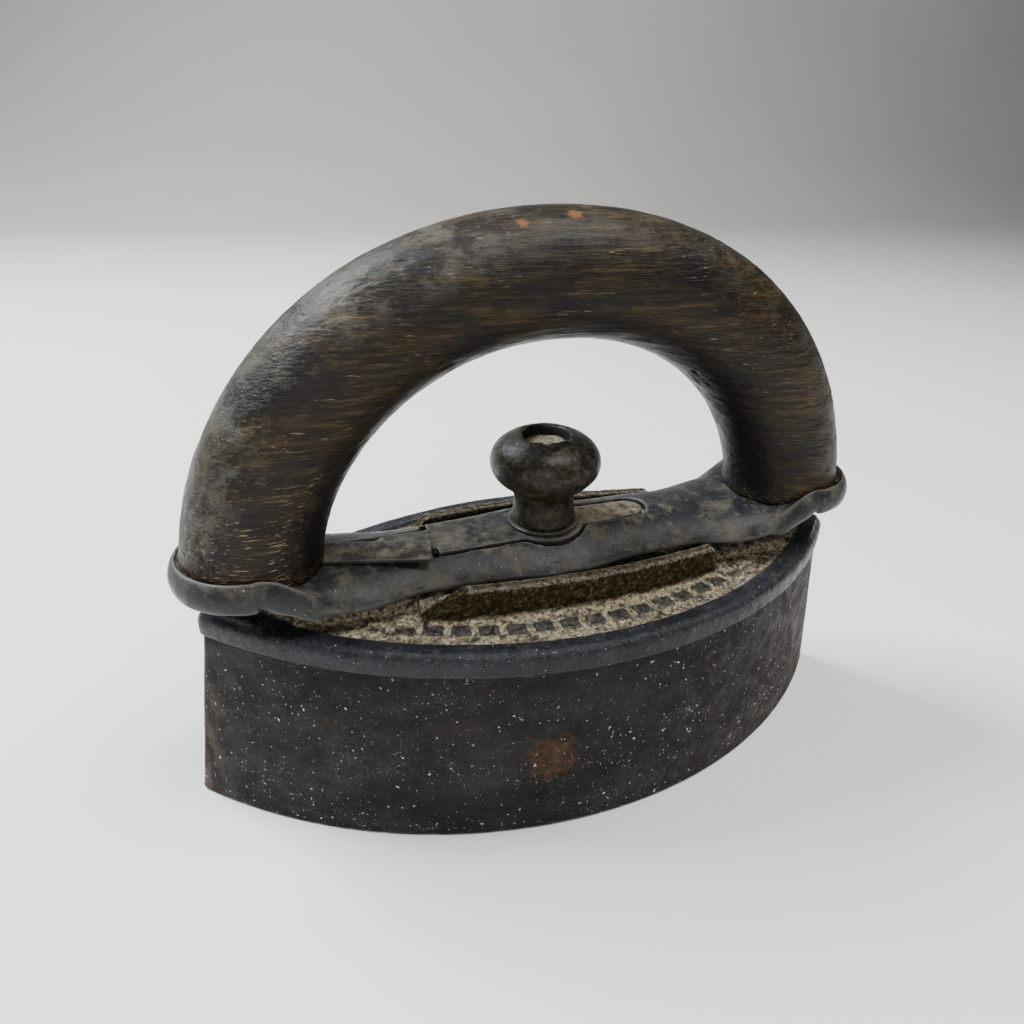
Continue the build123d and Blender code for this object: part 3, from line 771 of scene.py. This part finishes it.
def make_knob():
    piece = refined("knob", "turned_knob", 0.26 * MM, 8)
    low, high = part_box("knob")
    points = get_points(piece)
    centre = (low + high) / 2
    reach = np.hypot(points[:, 0] - centre.x, points[:, 1] - centre.y)
    height = points[:, 2]
    in_recess = smoothstep(5.6 * MM, 4.9 * MM, reach) * smoothstep(high.z - 6 * MM, high.z - 4.6 * MM, height)
    lip_radius = 5.4 * MM
    lip = smoothstep(1.6 * MM, 0.4 * MM, np.abs(reach - lip_radius))
    lip *= smoothstep(high.z - 2 * MM, high.z, height)
    relief = 0.12 * rough_noise(points, 5 * MM, 3) + 0.04 * rough_noise(points, 1.2 * MM, 5)
    relief -= 0.5 * lip * np.clip(noise(points, 1.8 * MM, 8) + 0.1, 0, 1)
    displace(piece, (relief - 0.08) * MM)
    # recess marks the hollow's walls, which the knob's material paints near-black as painted shade
    set_attribute(piece, "recess", in_recess)
    fit(piece, "knob", "latch", knob_look())


def make_recess_dust():
    """Dust packed in the bottom of the knob's hollow, over the screw head."""
    low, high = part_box("knob_screw")
    centre = (low + high) / 2
    rings, columns = 14, 72
    dust_radius, under_side = 4.9 * MM, high.z - 0.8 * MM
    points = [(centre.x, centre.y, high.z + 0.25 * MM)]
    for ring in range(1, rings + 1):
        reach = dust_radius * ring / rings
        for column in range(columns):
            angle = 2 * math.pi * column / columns
            points.append((centre.x + reach * math.cos(angle), centre.y + reach * math.sin(angle),
                           high.z + 0.2 * MM + 0.5 * MM * (ring / rings)**3))
    points = np.array(points)
    points[:, 2] += 0.35 * MM * rough_noise(points, 2.2 * MM, 4)
    base = points.copy()
    base[:, 2] = under_side
    count = len(points)
    faces = []
    for shift, flip in ((0, False), (count, True)):
        for column in range(columns):
            right = (column + 1) % columns
            triangle = (shift, shift + 1 + column, shift + 1 + right)
            faces.append(triangle[::-1] if flip else triangle)
            for ring in range(rings - 1):
                a = shift + 1 + ring * columns
                b = a + columns
                quad = (a + column, b + column, b + right, a + right)
                faces.append(quad[::-1] if flip else quad)
    outer = 1 + (rings - 1) * columns
    for column in range(columns):
        right = (column + 1) % columns
        faces.append((outer + column, count + outer + column, count + outer + right, outer + right))
    piece = make_piece("knob_dust", np.concatenate([points, base]), faces)
    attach(piece, "latch")
    piece.data.materials.append(loose_dust_look())


def make_washer():
    piece = refined("knob_washer", "knob_ring", 0.16 * MM, 4)
    mark_wear(piece, 6, 0.08 * MM)
    fit(piece, "knob_washer", "latch", bpy.data.materials["dusty_lever_steel"])


def make_leaf():
    """The leaf spring as a thin strip, built still; the real one bends when the lever lifts."""
    piece = refined("leaf_spring", "leaf_strip", 0.15 * MM, 3)
    points = get_points(piece)
    points[:, 2] += 0.10 * MM * noise(points * np.array([1, 1, 0]), 9 * MM, 3)
    set_points(piece, points)
    mark_wear(piece, 8, 0.08 * MM)
    piece.data.materials.append(lever_look("leaf_steel", 0.0, 0.7))
    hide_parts("leaf_spring")
    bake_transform(piece)


def dress_hidden_pieces():
    screw = plain_metal_look("old_screw_steel", (0.05, 0.045, 0.04), (0.16, 0.15, 0.14), 0.7)
    strap = plain_metal_look("strap_steel", (0.03, 0.03, 0.032), (0.10, 0.095, 0.09), 0.5)
    plaster = plaster_look()
    wanted = {"cap_screws": screw, "grip_screws": screw, "latch_pin": screw, "knob_screw": screw,
              "knob_nut": screw, "fixed_catch": strap, "latch_bracket": strap, "insulating_packing": plaster}
    for name, material in wanted.items():
        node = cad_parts[name]
        node.data.materials.clear()
        node.data.materials.append(material)
        bevel = node.modifiers.new("bevel", "BEVEL")
        bevel.width = 0.2 * MM
        bevel.segments = 2
        bevel.limit_method = "ANGLE"


# Stage

def make_stage():
    half, back, rise, curve = 2.2, 1.5, 1.8, 0.5
    profile = [(-half, 0.0), (back - curve, 0.0)]
    for angle in np.linspace(0, 90, 13)[1:]:
        turn = math.radians(angle)
        profile.append((back - curve + curve * math.sin(turn), curve * (1 - math.cos(turn))))
    profile.append((back, rise))
    points = [(side * half, y, z) for y, z in profile for side in (-1, 1)]
    faces = [(2 * i, 2 * i + 1, 2 * i + 3, 2 * i + 2) for i in range(len(profile) - 1)]
    floor = make_piece("pale_floor", points, faces)
    look = Look("pale_paper")
    tone = look.remap(look.noise(300, 3), 0.3, 0.7)
    floor.data.materials.append(look.done(look.mix(tone, (0.74, 0.72, 0.69), (0.78, 0.76, 0.73)), 0.8))


def add_light(name, place, aim, size, energy, colour):
    data = bpy.data.lights.new(name, "AREA")
    data.shape = "RECTANGLE"
    data.size, data.size_y = size
    data.energy = energy
    data.color = colour
    light = bpy.data.objects.new(name, data)
    light.location = place
    light.rotation_euler = (Vector(aim) - Vector(place)).to_track_quat("-Z", "Y").to_euler()
    scene.collection.objects.link(light)


def make_light():
    aim = (0, 0, 0.06)
    add_light("window", (-0.50, 0.40, 0.78), aim, (0.5, 0.35), 24, (0.88, 0.94, 1.0))
    add_light("overhead", (0.25, -0.15, 0.95), aim, (0.5, 0.5), 12, (1.0, 0.98, 0.95))
    add_light("front", (-0.35, -0.95, 0.45), aim, (0.6, 0.5), 4.5, (1.0, 0.95, 0.9))
    world = bpy.data.worlds.new("studio")
    world.use_nodes = True
    background = world.node_tree.nodes["Background"]
    path = world.node_tree.nodes.new("ShaderNodeLightPath")
    seen = world.node_tree.nodes.new("ShaderNodeMapRange")
    seen.inputs["To Min"].default_value = 0.10
    seen.inputs["To Max"].default_value = 0.60
    world.node_tree.links.new(path.outputs["Is Camera Ray"], seen.inputs["Value"])
    world.node_tree.links.new(seen.outputs["Result"], background.inputs[1])
    background.inputs[0].default_value = (0.85, 0.9, 1.0, 1)
    scene.world = world


def make_camera():
    """A close, wide view from the near left, a little tilted."""
    azimuth, elevation, roll = math.radians(-20.86), math.radians(27.25), math.radians(2.39)
    back = Vector((math.sin(azimuth) * math.cos(elevation), -math.cos(azimuth) * math.cos(elevation),
                   math.sin(elevation)))
    right = Vector((math.cos(azimuth), math.sin(azimuth), 0))
    up = back.cross(right)
    tilted_right = math.cos(roll) * right + math.sin(roll) * up
    tilted_up = -math.sin(roll) * right + math.cos(roll) * up
    aim = Vector((-10.91, 0, 63.69)) * MM
    distance = 178.2 * MM
    place = aim + back * distance
    data = bpy.data.cameras.new("camera")
    data.lens = 26.62
    data.sensor_width = 36
    data.clip_start = 0.01
    camera = bpy.data.objects.new("camera", data)
    turn = Matrix((tilted_right, tilted_up, back)).transposed().to_4x4()
    camera.matrix_world = Matrix.Translation(place) @ turn
    scene.collection.objects.link(camera)
    scene.camera = camera


make_iron_body()
make_cap()
make_grip()
make_plate()
make_lever()
make_knob()
make_recess_dust()
make_washer()
make_leaf()
dress_hidden_pieces()
make_stage()
make_light()
make_camera()
